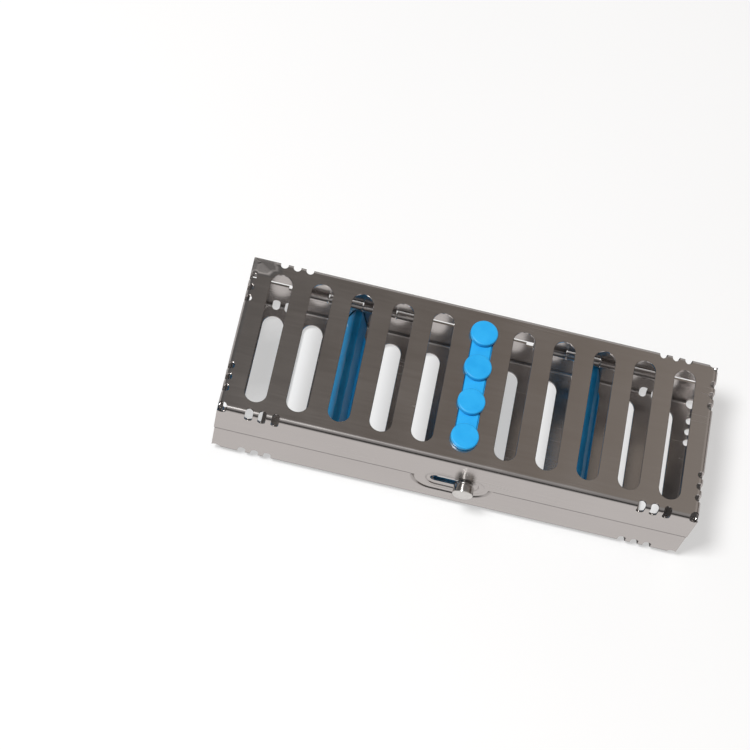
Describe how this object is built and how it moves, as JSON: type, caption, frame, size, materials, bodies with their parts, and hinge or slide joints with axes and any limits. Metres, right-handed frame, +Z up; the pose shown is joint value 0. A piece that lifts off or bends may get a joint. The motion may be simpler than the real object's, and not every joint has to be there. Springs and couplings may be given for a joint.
{
  "type": "dental instrument sterilising cassette",
  "caption": "Hinged stainless sterilising cassette for dental hand instruments: slotted base and lid trays, silicone holding rails and a sliding button latch.",
  "frame": {"origin": "under the middle of the closed cassette's bounding box, at the underside of the foot discs", "axes": "+X along the length, +Y towards the hinges, -Y towards the latch, +Z up through the lid"},
  "size_m": [0.18, 0.069, 0.0382],
  "materials": {
    "tray_steel": "brushed along the length, satin",
    "polished_steel": "turned and polished",
    "silicone": "satin moulded silicone"
  },
  "bodies": {
    "base": {"base_shell": "tray_steel", "base_rail_left": "silicone", "base_rail_right": "silicone", "hinge_pin_left": "polished_steel", "hinge_pin_right": "polished_steel"},
    "lid": {"lid_shell": "tray_steel", "lid_rail": "silicone"},
    "latch": {"latch_button": "polished_steel", "latch_washer": "polished_steel", "latch_retainer": "polished_steel"}
  },
  "joints": [
    {"name": "lid_hinge", "type": "hinge", "parent": "base", "child": "lid", "pos_m": [0, 0.0327, 0.0191], "axis": [-1, 0, 0], "range_deg": [0, 90]},
    {"name": "latch_slide", "type": "slide", "parent": "lid", "child": "latch", "axis": [-1, 0, 0], "range_m": [0, 0.0108]}
  ]
}
